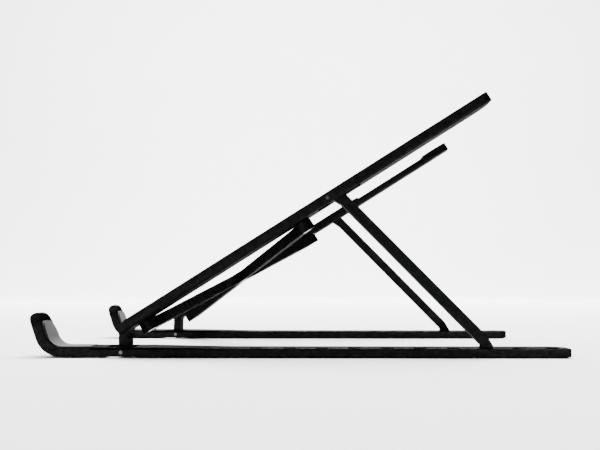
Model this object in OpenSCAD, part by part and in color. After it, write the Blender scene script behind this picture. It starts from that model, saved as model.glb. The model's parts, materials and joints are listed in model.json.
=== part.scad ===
// Folding laptop stand: two hooked base rails, two tilting arms propped by
// notched struts, and a scissor of two half-lapped bars that sets the width.
// +X runs from the hooks to the back, +Z up, origin at the bottom centre.

/* [Overall] */
// Length of a base rail, hook front to back end
overall_l = 251.4; // [235:0.1:270]
// Width across the two open sides
overall_w = 186; // [170:1:200]
// Width of each rail and of each arm
side_w = 22; // [21.6:0.1:24]
// Tilt of the arms above the table, with the struts in their notches
tilt = 32.2; // [32.2:0.1:32.2]

/* [Base rail] */
// Thickness of the rail at the hook and the pivot
rail_t = 4.4; // [4.2:0.1:4.8]
// Thickness of the rail in the notched stretch
rail_rear_t = 3.7; // [3.5:0.1:4]
// Height of the hook above the rail's underside
hook_h = 20.3; // [17:0.1:26]
// Lean of the hook away from vertical
hook_lean = 19.5; // [10:0.5:25]
// Inner bend radius of the hook
hook_r = 7.6; // [6:0.1:9]
// Height that the soft feet stand proud below the rail
foot_h = 0.6; // [0.4:0.1:1]

/* [Arm] */
// Thickness of the arm plate
arm_t = 4.7; // [4.5:0.1:5.2]
// Clear height from the base pivot to the arm's underside
arm_rise = 7.2; // [7.2:0.1:8]
// Thickness of the neck that stands in the rail's slot
neck_t = 4.2; // [3.2:0.1:4.2]
// Width of the neck
neck_w = 13.8; // [11:0.1:13.8]

/* [Struts and notches] */
// Thickness of a strut's leg
strut_t = 4.8; // [4:0.1:4.8]
// Width of a strut
strut_w = 10.5; // [9:0.1:10.5]
// Distance between neighbouring notches
notch_pitch = 15.3; // [14:0.1:17]
// Number of notches in each rail
notch_count = 10; // [9:1:10]

/* [Cross bars] */
// Width of a cross bar
bar_w = 8.6; // [8:0.1:8.6]
// Depth of a cross bar
bar_t = 4.8; // [4.4:0.1:4.8]
// Spacing along the arm of a bar's two ends when the stand is open
bar_reach = 88.4; // [80:0.1:95]
// Gap between the bars' pivots across the stand when it is folded narrow
folded_gap = 26; // [24:1:28]

/* [Hidden] */

fine = 64;            // facets of a visible round edge
coarse = 32;          // facets of a small round
run = 0.05;           // radial clearance of a turning pin
gap = 0.2;            // clearance beside a moving piece

metal = "#1c1c1e";
soft = "#707074";
steel = "#c4c4c8";
nylon = "#2c2c2e";

// base rail, in its own frame: x from the hook's front, y from the outer face,
// z from the underside
bend_r = hook_r + rail_t;
tip_r = rail_t / 2;
mid_r = hook_r + tip_r;
bend_sweep = 90 - hook_lean;
bend_end = -90 - bend_sweep;
bend_steps = 24;      // straights along the bend's arc
tip_steps = 12;       // and around the tip
hook_len = (hook_h - tip_r - bend_r + mid_r * sin(hook_lean)) / cos(hook_lean);
bend_x = mid_r * cos(hook_lean) + hook_len * sin(hook_lean) + tip_r;
edge_cut = 0.5;       // chamfer along the long edges
end_r_out = 3;        // plan radius of an outer back corner
end_r_in = 10;        // plan radius of an inner back corner
hook_corner_out = 6.5;  // radius of the hook's outer top corner, seen from the front
hook_corner_in = 9;     // and of its inner one
pad_sink = 0.8;       // depth of the recess that holds a soft pad
pad_proud = 0.3;      // height of a soft pad above the metal
hook_proud = 1.1;      // height of the hook pad up the hook
pad_rim = 1.6;        // metal left beside the hook pad
pad_tip_rim = 3.9;    // metal left above the hook pad
pad_tail_x = 27.9;     // end of the hook pad along the rail
foot_sink = 0.5;
foot_w = 13;
front_foot_x = 18;
front_foot_l = 15;
rear_foot_x = overall_l - 30;
rear_foot_l = 20;

// base pivot
pin_r = 0.9;
pin_x = 43.1;
pin_z = 2;
boss_r = 1.9;
neck_front = -1.7;    // neck's front face, from the pivot
arm_front = -1;       // front of the arm's full width, over the neck
neck_y = 3.9;         // neck's outer face
slot_front = -7.4;    // room for the neck to lean forward
slot_back = 6;        // and back
pin_inset = 0.15;     // pin ends lie just below the faces

// notches: pockets in the rail's top that take the tab under a strut's foot
foot_at = 170;        // from the base pivot to the foot in use
notches_behind = 2;   // notches behind the one in use
notch_l = 6;
notch_y = 3.2;
notch_w = 6.6;
notch_depth = 1;
thin_from = pin_x + 12;
thin_to = pin_x + 50;

// arm, in its own frame: u along the arm from the base pivot, y from the outer
// face, v square to the arm
arm_end = overall_l - pin_x + 0.9;
arm_top = arm_rise + arm_t;
elbow_r = 7;          // outer bend of the elbow
neck_fillet = 4.5;    // inner bend of the elbow
arm_edge_low = 0.8;   // chamfer along the arm's lower edges
arm_edge_top = 0.5;
relief_from = 143;    // finger relief in the arm's top, open on the inner side
relief_to = 191.5;
relief_depth = 1.2;
relief_y = 4;
pad_y = 4.5;          // soft pads let into the arm's top
pad_w = 13;
lower_pad_u = 26;
lower_pad_l = 76;
upper_pad_u = 131.5;
upper_pad_l = 10;
tip_pad_u = 194;
tip_pad_l = 9.5;

// strut
strut_u = 119.6;
strut_v = 9.4;
strut_y = 2.5;
strut_in = 2.7;       // from the strut's pivot to the near side of its leg
leg_angle = 77.7;     // from the arm to the leg at rest
strut_pin_y = 14.4;   // inner end of the strut pin
root_back = 6.9;      // top of the strut's root behind the pivot
slot_u0 = -6.4;       // slot in the arm's underside for the swinging strut
slot_u1 = 17.2;
window_u0 = -2.7;     // opening right through the arm for the strut's boss
window_u1 = 10.8;
foot_w_x = 5.3;       // length of the foot along the rail
foot_flat = 4.2;      // height of the foot's upright faces
tab_l = 2.5;          // tab under the foot, in the notch
tab_depth = 0.85;
tab_y = 3.6;
tab_w = 5.8;

// cross bars, at rest
bar_low_u = 15.1;
bar_y = 17.6;         // pivot line, from the outer face
bar_top = arm_rise - 0.25;
bar_bottom = bar_top - bar_t;
span = overall_w - 2 * bar_y;
bar_l = sqrt(span * span + bar_reach * bar_reach);
bar_angle = atan2(span, bar_reach);
folded_angle = asin(folded_gap / bar_l);
lap_gap = 0.1;        // each half of the lap stops short of the middle
lap_clear = 0.35;     // room beside the other bar in the lap pocket
rivet_r = 1.2;
rivet_head_r = 2.3;
rivet_head_t = 0.7;
centre_r = 1.5;
centre_head_r = 2.9;
rivet_sink = 2.3;     // depth of a lower rivet in the arm

// slider groove in the arm's underside
groove_w = 4.4;
groove_depth = 2.4;
groove_u0 = bar_low_u + bar_reach - 6;
groove_u1 = bar_low_u + bar_l + 6;
slider_l = 10;
slider_w = 4;
slider_bottom = arm_rise + 0.1;
slider_top = arm_rise + groove_depth - gap;

// ---- frames ------------------------------------------------------------

module right_side()
    translate([-overall_l / 2, -overall_w / 2, foot_h]) children();

module left_side()
    mirror([0, 1, 0]) right_side() children();

module at_pivot()
    translate([pin_x, 0, pin_z]) children();

// u along the arm, v square to it
module arm_frame()
    at_pivot() rotate([0, -tilt, 0]) children();

// plane of the cross bars: u along the arm, y across the whole stand
module bar_frame()
    translate([-overall_l / 2, 0, foot_h]) arm_frame()
        translate([bar_low_u + bar_reach / 2, 0, 0]) children();

// a side outline, from one depth to another
module slab(y0, y1)
    translate([0, y1, 0]) rotate([90, 0, 0]) linear_extrude(height = y1 - y0) children();

// a cross-section, drawn out along x
module drawn(l)
    rotate([90, 0, 90]) linear_extrude(height = l) children();

// a pin along y
module cross_pin(r, y0, y1)
    translate([0, y1, 0]) rotate([90, 0, 0]) cylinder(h = y1 - y0, r = r, $fn = fine);

// ---- outlines ----------------------------------------------------------

function turned(p, a) = [p[0] * cos(a) - p[1] * sin(a), p[0] * sin(a) + p[1] * cos(a)];

// bar of length l and width w with its far corners rounded
module round_end(l, w, r_low, r_high) {
    square([l - max(r_low, r_high), w]);
    translate([0, r_low]) square([l, w - r_low - r_high]);
    square([l - r_low, w / 2]);
    translate([0, w / 2]) square([l - r_high, w / 2]);
    translate([l - r_low, r_low]) circle(r_low, $fn = fine);
    translate([l - r_high, w - r_high]) circle(r_high, $fn = fine);
}

// rectangle with four corners rounded alike
module soft_rect(l, w, r) {
    translate([r, 0]) square([l - 2 * r, w]);
    translate([0, r]) square([l, w - 2 * r]);
    for (x = [r, l - r], y = [r, w - r]) translate([x, y]) circle(r, $fn = coarse);
}

// points along the hook's side outline, x and height: its bend at a height above
// the rail's underside that may grow, and a run up the plate from the bend's end
function on_arc(centre, r, a) = centre + r * [cos(a), sin(a)];
function bend_ramp(from, to) = [for (i = [0 : bend_steps])
    on_arc([bend_x, bend_r], bend_r - from - (to - from) * i / bend_steps,
        -90 - bend_sweep * i / bend_steps)];
function bend_arc(height) = bend_ramp(height, height);
function up_hook(height, len) =
    on_arc([bend_x, bend_r], bend_r - height, bend_end) + len * [sin(bend_end), -cos(bend_end)];
function reversed(list) = [for (i = [len(list) - 1 : -1 : 0]) list[i]];

// band from a low height to a high one, which grows through the bend, up the hook
// and back along the rail to tail
module bent_band(low, tail_high, hook_high, up, tail)
    polygon(concat([[tail, low]], bend_arc(low), [up_hook(low, up), up_hook(hook_high, up)],
        reversed(bend_ramp(tail_high, hook_high)), [[tail, tail_high]]));

module rail_outline() {
    tip = [for (i = [0 : tip_steps])
        on_arc(up_hook(tip_r, hook_len), tip_r, bend_end - 180 * i / tip_steps)];
    polygon(concat([[overall_l, 0]], bend_arc(0), tip, reversed(bend_arc(rail_t)),
        [[thin_from, rail_t], [thin_to, rail_rear_t], [overall_l, rail_rear_t]]));
}

// the outside of a rounded corner between an upright line and the arm's top line
module elbow_waste(front) {
    corner = [front, arm_top / cos(tilt) + front * tan(tilt)];
    t = elbow_r * tan((90 - tilt) / 2);
    centre = [front + elbow_r, corner[1] - t];
    along = corner + t * [cos(tilt), sin(tilt)];
    translate([front - 20, -5]) square([20, 40]);
    difference() {
        polygon([centre, [front - 1, centre[1]], corner + [-1, 1.5], along + [-0.5, 1]]);
        circle_at(centre, elbow_r);
    }
}

module circle_at(p, r)
    translate(p) circle(r, $fn = fine);

// neck from the boss up into the arm, with the fillet under the arm
module neck_outline() {
    back = neck_front + neck_t;
    corner_z = arm_rise / cos(tilt) + back * tan(tilt);
    t = neck_fillet * tan((90 - tilt) / 2);
    circle(boss_r, $fn = fine);
    polygon([[neck_front, 0], [back, 0], [back, corner_z + 0.5], [back - 0.6, corner_z + 2.2],
        [neck_front + 1.4, corner_z + 1.6], [neck_front, corner_z - 1.4]]);
    difference() {
        polygon([[back - 0.4, corner_z - t], [back - 0.4, corner_z + 0.4],
            [back + t * cos(tilt), corner_z + t * sin(tilt) + 0.4],
            [back + t * cos(tilt), corner_z + t * sin(tilt)], [back + neck_fillet, corner_z - t]]);
        circle_at([back + neck_fillet, corner_z - t], neck_fillet);
    }
}

// ---- base rail ---------------------------------------------------------

notch_x = [for (i = [0 : notch_count - 1])
    pin_x + foot_at + (notches_behind - i) * notch_pitch];
notch_back = foot_w_x / 2 + 0.15;

module rail() {
    color(metal) difference() {
        intersection() {
            slab(0, side_w) rail_outline();
            linear_extrude(height = hook_h + 1) round_end(overall_l, side_w, end_r_out, end_r_in);
            drawn(overall_l) hook_front(0, hook_h, hook_corner_out, hook_corner_in);
        }
        // chamfers along the top edges behind the hook
        for (y = [0, side_w])
            translate([bend_x + 14, y, rail_rear_t]) long_chamfer(overall_l - bend_x - 14);
        // slot for the neck
        translate([pin_x + slot_front, neck_y - gap, -1])
            cube([slot_back - slot_front, neck_w + 2 * gap, rail_t + 2]);
        at_pivot() cross_pin(pin_r, -1, side_w + 1);
        // notches
        for (x = notch_x)
            translate([x + notch_back - notch_l, notch_y, rail_rear_t - notch_depth])
                cube([notch_l, notch_w, notch_depth + 1]);
        hook_pad_band(hook_proud + 1, hook_proud + 1);
        foot_pocket(front_foot_x, front_foot_l);
        foot_pocket(rear_foot_x, rear_foot_l);
    }
}

// a front view of the hook, or of its pad, up to a height, with round top corners
module hook_front(rim, top, r_out, r_in) {
    w = side_w - 2 * rim;
    translate([rim, 0]) {
        square([w, top - r_in]);
        square([w / 2, top - r_out]);
        translate([r_out, 0]) square([w - r_out - r_in, top]);
        circle_at([r_out, top - r_out], r_out);
        circle_at([w - r_in, top - r_in], r_in);
    }
}

// square bar turned on edge that takes the corner off a long straight edge
module long_chamfer(l)
    rotate([45, 0, 0]) translate([0, -edge_cut * 0.7, -edge_cut * 0.7])
        cube([l + 1, edge_cut * 1.4, edge_cut * 1.4]);

// the stretch of the hook's inner face that the pad covers, from its recess up
module hook_pad_band(tail_proud, hook_proud)
    intersection() {
        slab(pad_rim, side_w - pad_rim)
            bent_band(rail_t - pad_sink, rail_t + tail_proud, rail_t + hook_proud,
                hook_len + tip_r, pad_tail_x);
        drawn(pad_tail_x + 1)
            hook_front(pad_rim, hook_h - pad_tip_rim, hook_corner_out - 2, hook_corner_in - 1);
    }

module hook_pad()
    color(soft) hook_pad_band(pad_proud, hook_proud);

module foot_pocket(x, l)
    translate([x, (side_w - foot_w) / 2, -1])
        linear_extrude(height = 1 + foot_sink) soft_rect(l, foot_w, 3);

module foot(x, l)
    color(soft) translate([x, (side_w - foot_w) / 2, -foot_h])
        linear_extrude(height = foot_h + foot_sink) soft_rect(l, foot_w, 3);

module base_pin()
    color(steel) at_pivot() cross_pin(pin_r, pin_inset, side_w - pin_inset);

// ---- arm ---------------------------------------------------------------

module arm_section()
    polygon([[arm_edge_low, arm_rise], [side_w - arm_edge_low, arm_rise],
        [side_w, arm_rise + arm_edge_low], [side_w, arm_top - arm_edge_top],
        [side_w - arm_edge_top, arm_top], [arm_edge_top, arm_top],
        [0, arm_top - arm_edge_top], [0, arm_rise + arm_edge_low]]);

module arm() {
    color(metal) difference() {
        union() {
            difference() {
                arm_frame() intersection() {
                    drawn(arm_end) arm_section();
                    linear_extrude(height = arm_top + 1)
                        round_end(arm_end, side_w, end_r_out, end_r_in);
                }
                at_pivot() slab(-1, side_w + 1) elbow_waste(arm_front);
            }
            at_pivot() slab(neck_y, neck_y + neck_w) neck_outline();
        }
        at_pivot() cross_pin(pin_r + run, -1, side_w + 1);
        arm_frame() {
            // slot and window for the strut
            translate([strut_u + slot_u0, strut_y - gap, arm_rise - 1])
                cube([slot_u1 - slot_u0, strut_w + 2 * gap, 2.6]);
            translate([strut_u + window_u0, strut_y - gap, arm_rise - 1])
                cube([window_u1 - window_u0, strut_w + 2 * gap, arm_t + 2]);
            translate([strut_u, 0, strut_v]) cross_pin(pin_r, -1, strut_pin_y);
            // groove for the slider and bore for the lower rivet
            translate([groove_u0, bar_y - groove_w / 2, arm_rise - 1])
                cube([groove_u1 - groove_u0, groove_w, groove_depth + 1]);
            translate([bar_low_u, bar_y, arm_rise - 1])
                cylinder(h = rivet_sink + 1, r = rivet_r, $fn = fine);
            // finger relief, open on the inner side
            translate([relief_from, relief_y, arm_top - relief_depth])
                cube([relief_to - relief_from, side_w, relief_depth + 1]);
            pad_pocket(lower_pad_u, lower_pad_l);
            pad_pocket(upper_pad_u, upper_pad_l);
            pad_pocket(tip_pad_u, tip_pad_l);
        }
    }
}

module pad_pocket(u, l)
    translate([u, pad_y, arm_top - pad_sink])
        linear_extrude(height = pad_sink + 1) soft_rect(l, pad_w, 2);

module arm_pad(u, l)
    color(soft) arm_frame() translate([u, pad_y, arm_top - pad_sink])
        linear_extrude(height = pad_sink + pad_proud) soft_rect(l, pad_w, 2);

// ---- strut -------------------------------------------------------------

// pivot of the strut and floor of the notch, seen from the strut's pivot
pivot_world = turned([strut_u, strut_v], tilt);
foot_mid = [foot_at - pivot_world[0], rail_rear_t - pin_z - pivot_world[1]];

leg_dir = turned([1, 0], tilt - leg_angle);
leg_side = [-leg_dir[1], leg_dir[0]];

// point on a line of the leg, at a height
function leg_at(offset, z) =
    let(p = offset * leg_side, s = (z - p[1]) / leg_dir[1]) p + s * leg_dir;

module strut_outline() {
    inner = strut_in;
    outer = strut_in + strut_t;
    sole = foot_mid[1] + 0.05;
    heel = foot_mid[0] + foot_w_x / 2;
    toe = foot_mid[0] - foot_w_x / 2;
    knee = turned([root_back - 0.6, pin_r + 1], tilt);
    shoulder = turned([root_back, pin_r + 0.4], tilt);
    circle(boss_r, $fn = fine);
    polygon([
        turned([0, boss_r], tilt), knee, shoulder,
        leg_at(outer, shoulder[1] - 3),
        leg_at(outer, sole + foot_flat + 1.6),
        [heel, sole + 0.9], [heel - 0.3, sole],
        [toe, sole], leg_at(inner, sole + foot_flat - 3),
        leg_at(inner, turned([0, -boss_r - 2.2], tilt)[1]),
        turned([2.2, -boss_r - 0.35], tilt), turned([0, -boss_r], tilt)
    ]);
}

module strut() {
    color(metal) at_pivot() translate([pivot_world[0], 0, pivot_world[1]]) difference() {
        union() {
            slab(strut_y, strut_y + strut_w) strut_outline();
            translate([foot_mid[0] + foot_w_x / 2 - tab_l, tab_y, foot_mid[1] - tab_depth])
                cube([tab_l, tab_w, tab_depth + 1]);
        }
        cross_pin(pin_r + run, -1, side_w);
    }
}

module strut_pin()
    color(steel) arm_frame() translate([strut_u, 0, strut_v]) cross_pin(pin_r, pin_inset, strut_pin_y);

// ---- cross bars --------------------------------------------------------

// one half of the lap pocket's full-height wall: a wedge that the other bar
// never reaches between open and folded
module lap_wall() {
    open_dir = 2 * bar_angle - 180;
    shut_dir = 2 * folded_angle;
    half = (shut_dir - open_dir) / 2;
    apex = (bar_w / 2 + lap_clear) / sin(half) * [cos(shut_dir - half), sin(shut_dir - half)];
    polygon([apex, apex + bar_l * [cos(open_dir), sin(open_dir)],
        apex + bar_l * [cos(shut_dir), sin(shut_dir)]]);
}

module lap_pocket()
    difference() {
        square([1.3 * bar_l / 2, bar_w + 2], center = true);
        lap_wall();
        rotate(180) lap_wall();
    }

module bar_plan() {
    square([bar_l, bar_w], center = true);
    for (s = [-1, 1]) circle_at([s * bar_l / 2, 0], bar_w / 2);
}

// bar with its lower end at -x; the lap takes away the part between two heights
module bar(lap_from, lap_to, hand, lower_bore, centre_bore) {
    lap_mid = bar_bottom + bar_t / 2;
    difference() {
        translate([0, 0, bar_bottom]) linear_extrude(height = bar_t) bar_plan();
        translate([0, 0, lap_from]) linear_extrude(height = lap_to - lap_from)
            mirror([0, hand, 0]) lap_pocket();
        translate([-bar_l / 2, 0, bar_bottom - 1])
            cylinder(h = bar_t + 2, r = lower_bore, $fn = fine);
        translate([bar_l / 2, 0, bar_bottom - 1])
            cylinder(h = bar_t + 2, r = rivet_r, $fn = fine);
        for (s = [-1, 1]) translate([s * bar_l / 2, 0, bar_bottom - 1])
            cylinder(h = 1 + rivet_head_t + run, r = rivet_head_r + run, $fn = fine);
        translate([0, 0, bar_bottom - 1])
            cylinder(h = bar_t + 2, r = centre_bore, $fn = fine);
        translate([0, 0, bar_bottom - 1])
            cylinder(h = 1 + rivet_head_t + run, r = centre_head_r + run, $fn = fine);
        translate([0, 0, bar_top - rivet_head_t - run])
            cylinder(h = 2, r = centre_head_r + run, $fn = fine);
    }
}

// from the right side's lower pivot to the left side's upper one
module bar_a() {
    lap_mid = bar_bottom + bar_t / 2;
    color(metal) bar_frame() rotate(bar_angle)
        bar(bar_bottom - 1, lap_mid + lap_gap, 1, rivet_r + run, centre_r);
}

// from the left side's lower pivot to the right side's upper one
module bar_b() {
    lap_mid = bar_bottom + bar_t / 2;
    color(metal) bar_frame() rotate(-bar_angle)
        bar(lap_mid - lap_gap, bar_top + 1, 0, rivet_r + run, centre_r + run);
}

module centre_rivet()
    color(steel) bar_frame() {
        translate([0, 0, bar_bottom]) cylinder(h = rivet_head_t, r = centre_head_r, $fn = fine);
        translate([0, 0, bar_bottom]) cylinder(h = bar_t, r = centre_r, $fn = fine);
        translate([0, 0, bar_top - rivet_head_t])
            cylinder(h = rivet_head_t, r = centre_head_r, $fn = fine);
    }

// rivet with its head at a bar's underside, reaching up to a height
module bar_rivet(u, top) {
    color(steel) arm_frame() translate([u, bar_y, bar_bottom]) {
        cylinder(h = rivet_head_t, r = rivet_head_r, $fn = fine);
        cylinder(h = top - bar_bottom, r = rivet_r, $fn = fine);
    }
}

module lower_rivet()
    bar_rivet(bar_low_u, arm_rise + rivet_sink);

module slider_pin()
    bar_rivet(bar_low_u + bar_reach, slider_top);

module slider()
    color(nylon) arm_frame() translate([bar_low_u + bar_reach, bar_y, 0]) difference() {
        translate([-slider_l / 2, -slider_w / 2, slider_bottom])
            linear_extrude(height = slider_top - slider_bottom)
                soft_rect(slider_l, slider_w, 1.5);
        cylinder(h = 2 * arm_top, r = rivet_r + run, $fn = fine);
    }

// ---- pieces ------------------------------------------------------------

right_side() rail();  // right_rail
right_side() hook_pad();  // right_hook_pad
right_side() foot(front_foot_x, front_foot_l);  // right_front_foot
right_side() foot(rear_foot_x, rear_foot_l);  // right_rear_foot
right_side() base_pin();  // right_base_pin
right_side() arm();  // right_arm
right_side() arm_pad(lower_pad_u, lower_pad_l);  // right_lower_pad
right_side() arm_pad(upper_pad_u, upper_pad_l);  // right_upper_pad
right_side() arm_pad(tip_pad_u, tip_pad_l);  // right_tip_pad
right_side() strut();  // right_strut
right_side() strut_pin();  // right_strut_pin
right_side() lower_rivet();  // right_bar_rivet
right_side() slider();  // right_slider
right_side() slider_pin();  // right_slider_pin
left_side() rail();  // left_rail
left_side() hook_pad();  // left_hook_pad
left_side() foot(front_foot_x, front_foot_l);  // left_front_foot
left_side() foot(rear_foot_x, rear_foot_l);  // left_rear_foot
left_side() base_pin();  // left_base_pin
left_side() arm();  // left_arm
left_side() arm_pad(lower_pad_u, lower_pad_l);  // left_lower_pad
left_side() arm_pad(upper_pad_u, upper_pad_l);  // left_upper_pad
left_side() arm_pad(tip_pad_u, tip_pad_l);  // left_tip_pad
left_side() strut();  // left_strut
left_side() strut_pin();  // left_strut_pin
left_side() lower_rivet();  // left_bar_rivet
left_side() slider();  // left_slider
left_side() slider_pin();  // left_slider_pin
bar_a();
bar_b();
centre_rivet();
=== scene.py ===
"""Folding laptop stand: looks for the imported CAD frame, in metres."""
import json
import math

import bmesh
import bpy
from mathutils import Euler, Matrix, Vector


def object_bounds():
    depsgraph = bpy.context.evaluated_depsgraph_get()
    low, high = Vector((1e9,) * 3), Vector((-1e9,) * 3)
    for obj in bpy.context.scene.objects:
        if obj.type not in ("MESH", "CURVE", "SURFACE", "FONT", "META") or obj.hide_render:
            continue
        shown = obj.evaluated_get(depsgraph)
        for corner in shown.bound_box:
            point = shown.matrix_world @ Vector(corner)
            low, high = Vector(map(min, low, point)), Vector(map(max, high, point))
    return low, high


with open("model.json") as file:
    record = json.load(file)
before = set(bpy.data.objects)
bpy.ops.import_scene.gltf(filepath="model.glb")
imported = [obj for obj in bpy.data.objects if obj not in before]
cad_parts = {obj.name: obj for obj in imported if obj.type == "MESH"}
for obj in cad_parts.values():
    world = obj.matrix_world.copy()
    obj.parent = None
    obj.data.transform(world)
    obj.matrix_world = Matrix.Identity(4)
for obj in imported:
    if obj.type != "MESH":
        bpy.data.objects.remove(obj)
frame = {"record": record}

cad_low, cad_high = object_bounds()

MM = 0.001

# ---- camera --------------------------------------------------------------

NEAR_DISTANCE = 0.4602     # from the camera to the near side's outer face
CAMERA_X = 0.0145
CAMERA_Z = 0.0345
CAMERA_PITCH = 3.37        # degrees upward
CAMERA_YAW = 1.71          # degrees toward the hooks
CAMERA_ROLL = -0.05        # degrees
LENS = 59.55
SENSOR_WIDTH = 36


def make_camera():
    """The photograph's viewpoint: low, beside the right side, tilted a little up."""
    data = bpy.data.cameras.new("camera")
    data.lens = LENS
    data.sensor_width = SENSOR_WIDTH
    data.clip_start, data.clip_end = 0.01, 20
    camera = bpy.data.objects.new("camera", data)
    bpy.context.collection.objects.link(camera)
    camera.location = (CAMERA_X, cad_low.y - NEAR_DISTANCE, CAMERA_Z)
    aim = Euler((math.radians(90 + CAMERA_PITCH), 0, math.radians(CAMERA_YAW))).to_matrix()
    roll = Matrix.Rotation(math.radians(CAMERA_ROLL), 3, "Z")
    camera.rotation_euler = (aim @ roll).to_euler()
    bpy.context.scene.camera = camera


# ---- floor and light -----------------------------------------------------

FLOOR_HALF = 3.0
SWEEP_RADIUS = 0.8
SWEEP_STEPS = 16
WALL_HEIGHT = 2.6


def make_sweep():
    """White paper: a flat floor that curves up into a wall far behind the stand."""
    turn = FLOOR_HALF - SWEEP_RADIUS
    profile = [(-FLOOR_HALF, 0.0)]
    for step in range(SWEEP_STEPS + 1):
        angle = math.pi / 2 * step / SWEEP_STEPS
        y = turn + SWEEP_RADIUS * math.sin(angle)
        z = SWEEP_RADIUS * (1 - math.cos(angle))
        profile.append((y, z))
    profile.append((FLOOR_HALF, WALL_HEIGHT))
    mesh = bmesh.new()
    rows = [[mesh.verts.new((side * FLOOR_HALF, y, cad_low.z + z)) for side in (-1, 1)]
            for y, z in profile]
    for lower, upper in zip(rows, rows[1:]):
        mesh.faces.new((lower[0], lower[1], upper[1], upper[0]))
    data = bpy.data.meshes.new("paper_sweep")
    mesh.to_mesh(data)
    mesh.free()
    sweep = bpy.data.objects.new("paper_sweep", data)
    bpy.context.collection.objects.link(sweep)
    for face in data.polygons:
        face.use_smooth = True
    data.materials.append(paper())


WORLD_STRENGTH = 0.15


def area_light(name, place, aim, size, power):
    """A rectangular lamp at place, turned to aim; size in metres, power in watts."""
    data = bpy.data.lights.new(name, "AREA")
    data.shape = "RECTANGLE"
    data.size, data.size_y = size
    data.energy = power
    lamp = bpy.data.objects.new(name, data)
    bpy.context.collection.objects.link(lamp)
    lamp.location = place
    direction = Vector(aim) - Vector(place)
    lamp.rotation_euler = direction.to_track_quat("-Z", "Y").to_euler()


def make_lights():
    area_light("top", (0.1, 0.8, 1.7), (0, 0.5, 0), (2.4, 1.8), 230)
    area_light("wall", (0, 1.5, 1.6), (0, 3.0, 0.4), (3.2, 1.2), 170)
    area_light("front", (-0.7, -1.0, 0.9), (0, 0, 0.05), (0.6, 0.5), 3)
    world = bpy.data.worlds.new("studio")
    world.use_nodes = True
    background = world.node_tree.nodes["Background"]
    background.inputs["Color"].default_value = (1, 1, 1, 1)
    background.inputs["Strength"].default_value = WORLD_STRENGTH
    bpy.context.scene.world = world


# ---- materials -----------------------------------------------------------

class Shader:
    """A Principled material and short calls that add nodes to it."""

    def __init__(self, name):
        self.material = bpy.data.materials.new(name)
        self.material.use_nodes = True
        self.nodes = self.material.node_tree.nodes
        self.links = self.material.node_tree.links
        self.bsdf = self.nodes["Principled BSDF"]
        self.place = self.nodes.new("ShaderNodeTexCoord").outputs["Object"]

    def set(self, **values):
        for key, value in values.items():
            self.bsdf.inputs[key.replace("_", " ")].default_value = value

    def feed(self, key, output):
        self.links.new(output, self.bsdf.inputs[key])

    def noise(self, scale, detail=3.0):
        node = self.nodes.new("ShaderNodeTexNoise")
        node.inputs["Scale"].default_value = scale
        node.inputs["Detail"].default_value = detail
        self.links.new(self.place, node.inputs["Vector"])
        return node.outputs["Fac"]

    def ramp(self, source, stops):
        node = self.nodes.new("ShaderNodeValToRGB")
        elements = node.color_ramp.elements
        elements[0].position, elements[0].color = stops[0]
        elements[1].position, elements[1].color = stops[-1]
        for place, colour in stops[1:-1]:
            elements.new(place).color = colour
        self.links.new(source, node.inputs["Fac"])
        return node.outputs["Color"]

    def spread(self, source, low, high):
        node = self.nodes.new("ShaderNodeMapRange")
        node.inputs["To Min"].default_value = low
        node.inputs["To Max"].default_value = high
        self.links.new(source, node.inputs["Value"])
        return node.outputs["Result"]

    def mix(self, factor, first, second):
        node = self.nodes.new("ShaderNodeMix")
        node.data_type = "RGBA"
        self.links.new(factor, node.inputs["Factor"])
        self.links.new(first, node.inputs["A"])
        self.links.new(second, node.inputs["B"])
        return node.outputs["Result"]

    def bumps(self, *layers):
        """Each layer is (height output, strength, depth in metres)."""
        normal = None
        for height, strength, depth in layers:
            node = self.nodes.new("ShaderNodeBump")
            node.inputs["Strength"].default_value = strength
            node.inputs["Distance"].default_value = depth
            self.links.new(height, node.inputs["Height"])
            if normal:
                self.links.new(normal, node.inputs["Normal"])
            normal = node.outputs["Normal"]
        self.links.new(normal, self.bsdf.inputs["Normal"])


def grey(value, tint=0.0):
    """A grey whose blue is raised by the share tint."""
    return (value, value, value * (1 + tint), 1)


def paper():
    """Matt white paper for the floor and the wall."""
    s = Shader("white_paper")
    s.feed("Base Color", s.ramp(s.noise(3, 2), [(0.3, grey(0.93)), (0.7, grey(0.96))]))
    s.feed("Roughness", s.spread(s.noise(60), 0.75, 0.9))
    s.set(Specular_IOR_Level=0.2)
    s.bumps((s.noise(900, 4), 0.1, 0.00005))
    return s.material


def black_metal():
    """Aluminium, bead-blasted and anodised black."""
    s = Shader("black_anodised_aluminium")
    cloud = s.noise(38, 4)
    base = s.ramp(cloud, [(0.3, grey(0.0034, 0.10)), (0.7, grey(0.0042, 0.10))])
    # painted highlight: convex edges (pointiness) get a lighter base colour so they read
    # as lit edges
    edge = s.nodes.new("ShaderNodeNewGeometry").outputs["Pointiness"]
    painted_edge_highlight = s.ramp(edge, [(0.515, grey(0)), (0.58, grey(0.3))])
    s.feed("Base Color", s.mix(painted_edge_highlight, base, s.ramp(s.noise(420, 3), [
        (0.4, grey(0.01)), (0.7, grey(0.03))])))
    grain = s.noise(5200, 2)
    s.feed("Roughness", s.spread(s.noise(650, 4), 0.50, 0.60))
    s.set(Metallic=1.0, Specular_Tint=grey(0.16))
    s.bumps((grain, 0.22, 0.00003), (s.noise(210, 3), 0.02, 0.00006))
    return s.material


def grey_silicone():
    """Matt moulded silicone with a fine skin."""
    s = Shader("grey_silicone")
    s.feed("Base Color", s.ramp(s.noise(90, 4), [
        (0.3, grey(0.009, 0.2)), (0.7, grey(0.014, 0.2))]))
    s.feed("Roughness", s.spread(s.noise(1400, 3), 0.52, 0.68))
    s.set(IOR=1.22)
    s.bumps((s.noise(3600, 3), 0.25, 0.00004), (s.noise(300, 2), 0.08, 0.0001))
    return s.material


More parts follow.
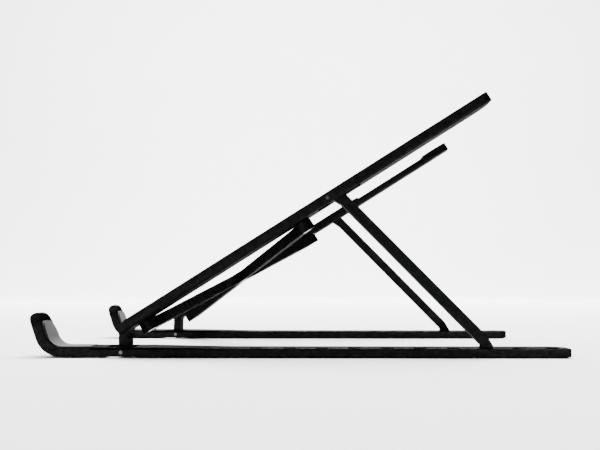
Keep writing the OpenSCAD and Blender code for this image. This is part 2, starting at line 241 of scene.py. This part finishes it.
def black_rubber():
    """Dull rubber with a coarse skin."""
    s = Shader("black_rubber")
    s.feed("Base Color", s.ramp(s.noise(120, 4), [(0.3, grey(0.018)), (0.7, grey(0.03))]))
    s.feed("Roughness", s.spread(s.noise(1500, 3), 0.65, 0.85))
    s.set(Specular_IOR_Level=0.3)
    s.bumps((s.noise(2500, 3), 0.3, 0.00005))
    return s.material


def bright_steel():
    """Turned steel: fine rings and a few dull spots."""
    s = Shader("bright_steel")
    s.feed("Base Color", s.ramp(s.noise(900, 3), [
        (0.3, grey(0.08)), (0.7, grey(0.12, 0.02))]))
    s.feed("Roughness", s.spread(s.noise(2600, 4), 0.2, 0.36))
    s.set(Metallic=1.0)
    s.bumps((s.noise(9000, 2), 0.12, 0.00001))
    return s.material


def black_nylon():
    """Moulded nylon, slightly shiny."""
    s = Shader("black_nylon")
    s.feed("Base Color", s.ramp(s.noise(200, 3), [(0.3, grey(0.02)), (0.7, grey(0.032))]))
    s.feed("Roughness", s.spread(s.noise(1800, 3), 0.42, 0.58))
    s.bumps((s.noise(2200, 3), 0.15, 0.00003))
    return s.material


MAKERS = {
    "black_metal": black_metal,
    "grey_silicone": grey_silicone,
    "black_rubber": black_rubber,
    "steel": bright_steel,
    "nylon": black_nylon,
}
# width of the round on each material's edges, in millimetres
EDGE = {
    "black_metal": 0.15,
    "grey_silicone": 0.25,
    "black_rubber": 0.25,
    "steel": 0.15,
    "nylon": 0.2,
}
EDGE_SEGMENTS = 2
SHARP_ANGLE = math.radians(38)


def dress_nodes():
    """Gives every CAD node its slot's material and a small round on its edges."""
    made = {slot: maker() for slot, maker in MAKERS.items()}
    slots = {p["node"]: p["material_slot"] for p in frame["record"]["subparts"]}
    for node, slot in slots.items():
        shape = bpy.data.objects[node]
        shape.data.materials.clear()
        shape.data.materials.append(made[slot])
        round_edges(shape, EDGE[slot] * MM)


def round_edges(shape, width):
    bevel = shape.modifiers.new("soft_edges", "BEVEL")
    bevel.width = width
    bevel.segments = EDGE_SEGMENTS
    bevel.limit_method = "ANGLE"
    bevel.angle_limit = SHARP_ANGLE


make_camera()
make_sweep()
make_lights()
dress_nodes()
